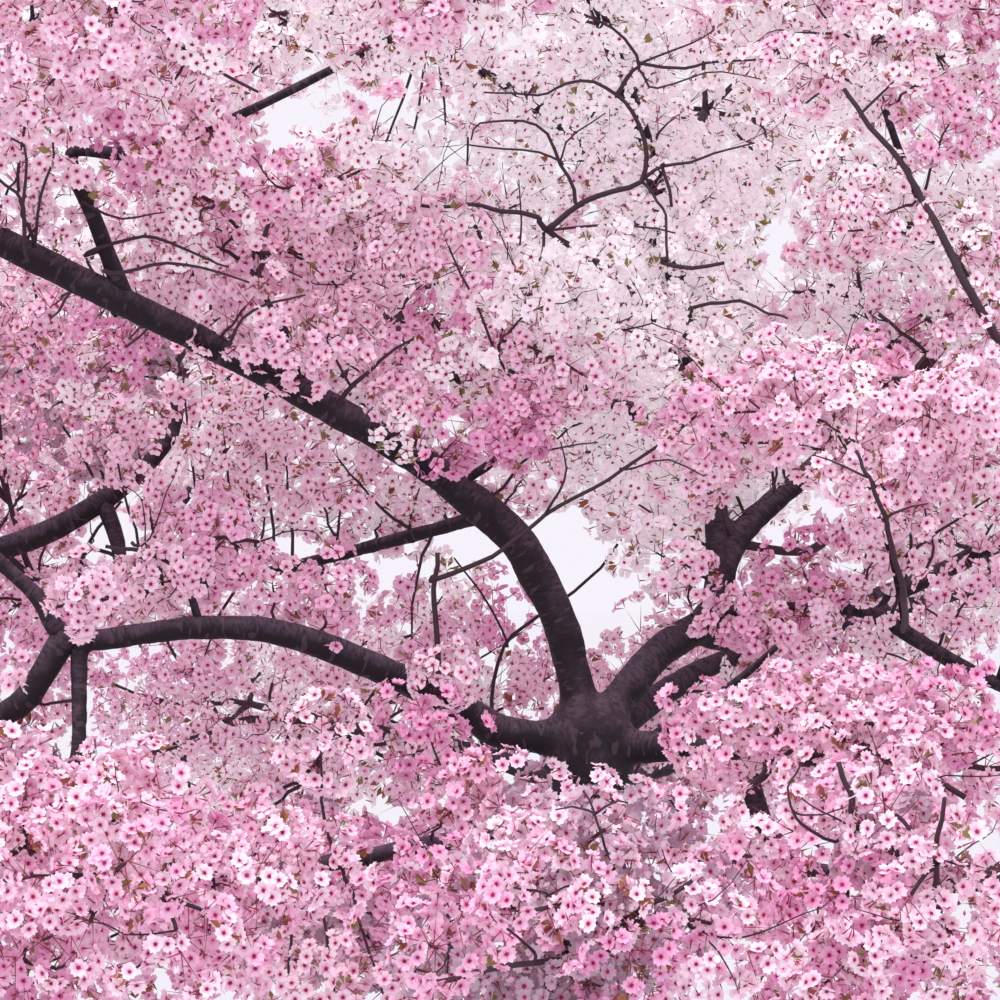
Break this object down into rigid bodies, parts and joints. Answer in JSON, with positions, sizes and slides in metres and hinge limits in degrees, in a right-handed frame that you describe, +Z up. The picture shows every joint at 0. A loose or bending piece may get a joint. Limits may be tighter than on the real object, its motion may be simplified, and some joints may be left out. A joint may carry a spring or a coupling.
{
  "type": "flowering cherry tree",
  "caption": "Young flowering cherry tree in full blossom, low forked with a flared trunk, spreading boughs and separate masses of pink blossom, cut flat at ground level.",
  "frame": {"origin": "middle of the flat cut under the trunk, at ground level", "axes": "+Z up; the picture looks along +Y, with +X to its right"},
  "size_m": [4.4035, 3.6788, 4.1274],
  "materials": {
    "bark": "rough dark bark",
    "blossom_pink": "soft matt petals",
    "blossom_light_pink": "soft matt petals",
    "blossom_pale": "soft matt petals",
    "flower_eye": "deep red flower middles",
    "flower_stalk": "red stalks and buds",
    "young_leaf": "soft young leaves"
  },
  "bodies": {
    "root": {"trunk": "bark", "bough_upper_left": "bark", "bough_upper_right": "bark", "bough_left": "bark", "bough_right": "bark", "limb_top_left": "bark", "limb_top_left_front": "bark", "limb_over_left": "bark", "limb_over_middle": "bark", "limb_behind_middle": "bark", "limb_behind_left": "bark", "limb_hanging_left": "bark", "limb_spur_left": "bark", "limb_right_arching": "bark", "limb_right_rising": "bark", "limb_high_right": "bark", "limb_right_front": "bark", "bough_right_back": "bark", "leader": "bark", "bough_back": "bark", "bough_back_left": "bark", "limb_top_back_left": "bark", "limb_top_back_right": "bark", "limb_back_right": "bark", "limb_back_left_low": "bark", "limb_back_low": "bark", "limb_front_left": "bark", "limb_front_right": "bark", "limb_front": "bark", "limb_under_left": "bark", "blossom_far_left": "blossom_pink", "blossom_left": "blossom_pink", "blossom_left_low": "blossom_pink", "blossom_on_bough_left": "blossom_pink", "blossom_top_front": "blossom_pink", "blossom_top_left": "blossom_pink", "blossom_over_left": "blossom_pink", "blossom_over_middle": "blossom_pink", "blossom_behind_middle": "blossom_light_pink", "blossom_behind_left": "blossom_light_pink", "blossom_upper_right": "blossom_light_pink", "blossom_right_middle": "blossom_pink", "blossom_far_right": "blossom_pink", "blossom_high_right": "blossom_light_pink", "blossom_right_front": "blossom_pink", "blossom_right_back": "blossom_pale", "blossom_right_low": "blossom_pink", "blossom_front_left": "blossom_pink", "blossom_front": "blossom_pink", "blossom_front_right": "blossom_pink", "blossom_under_left": "blossom_pink", "blossom_back_left_low": "blossom_light_pink", "blossom_back_low": "blossom_light_pink", "blossom_back_right": "blossom_pale", "blossom_back_left": "blossom_pale", "blossom_back": "blossom_pale", "blossom_top_back_left": "blossom_pale", "blossom_top_back_right": "blossom_pale", "blossom_top": "blossom_light_pink"}
  },
  "joints": []
}
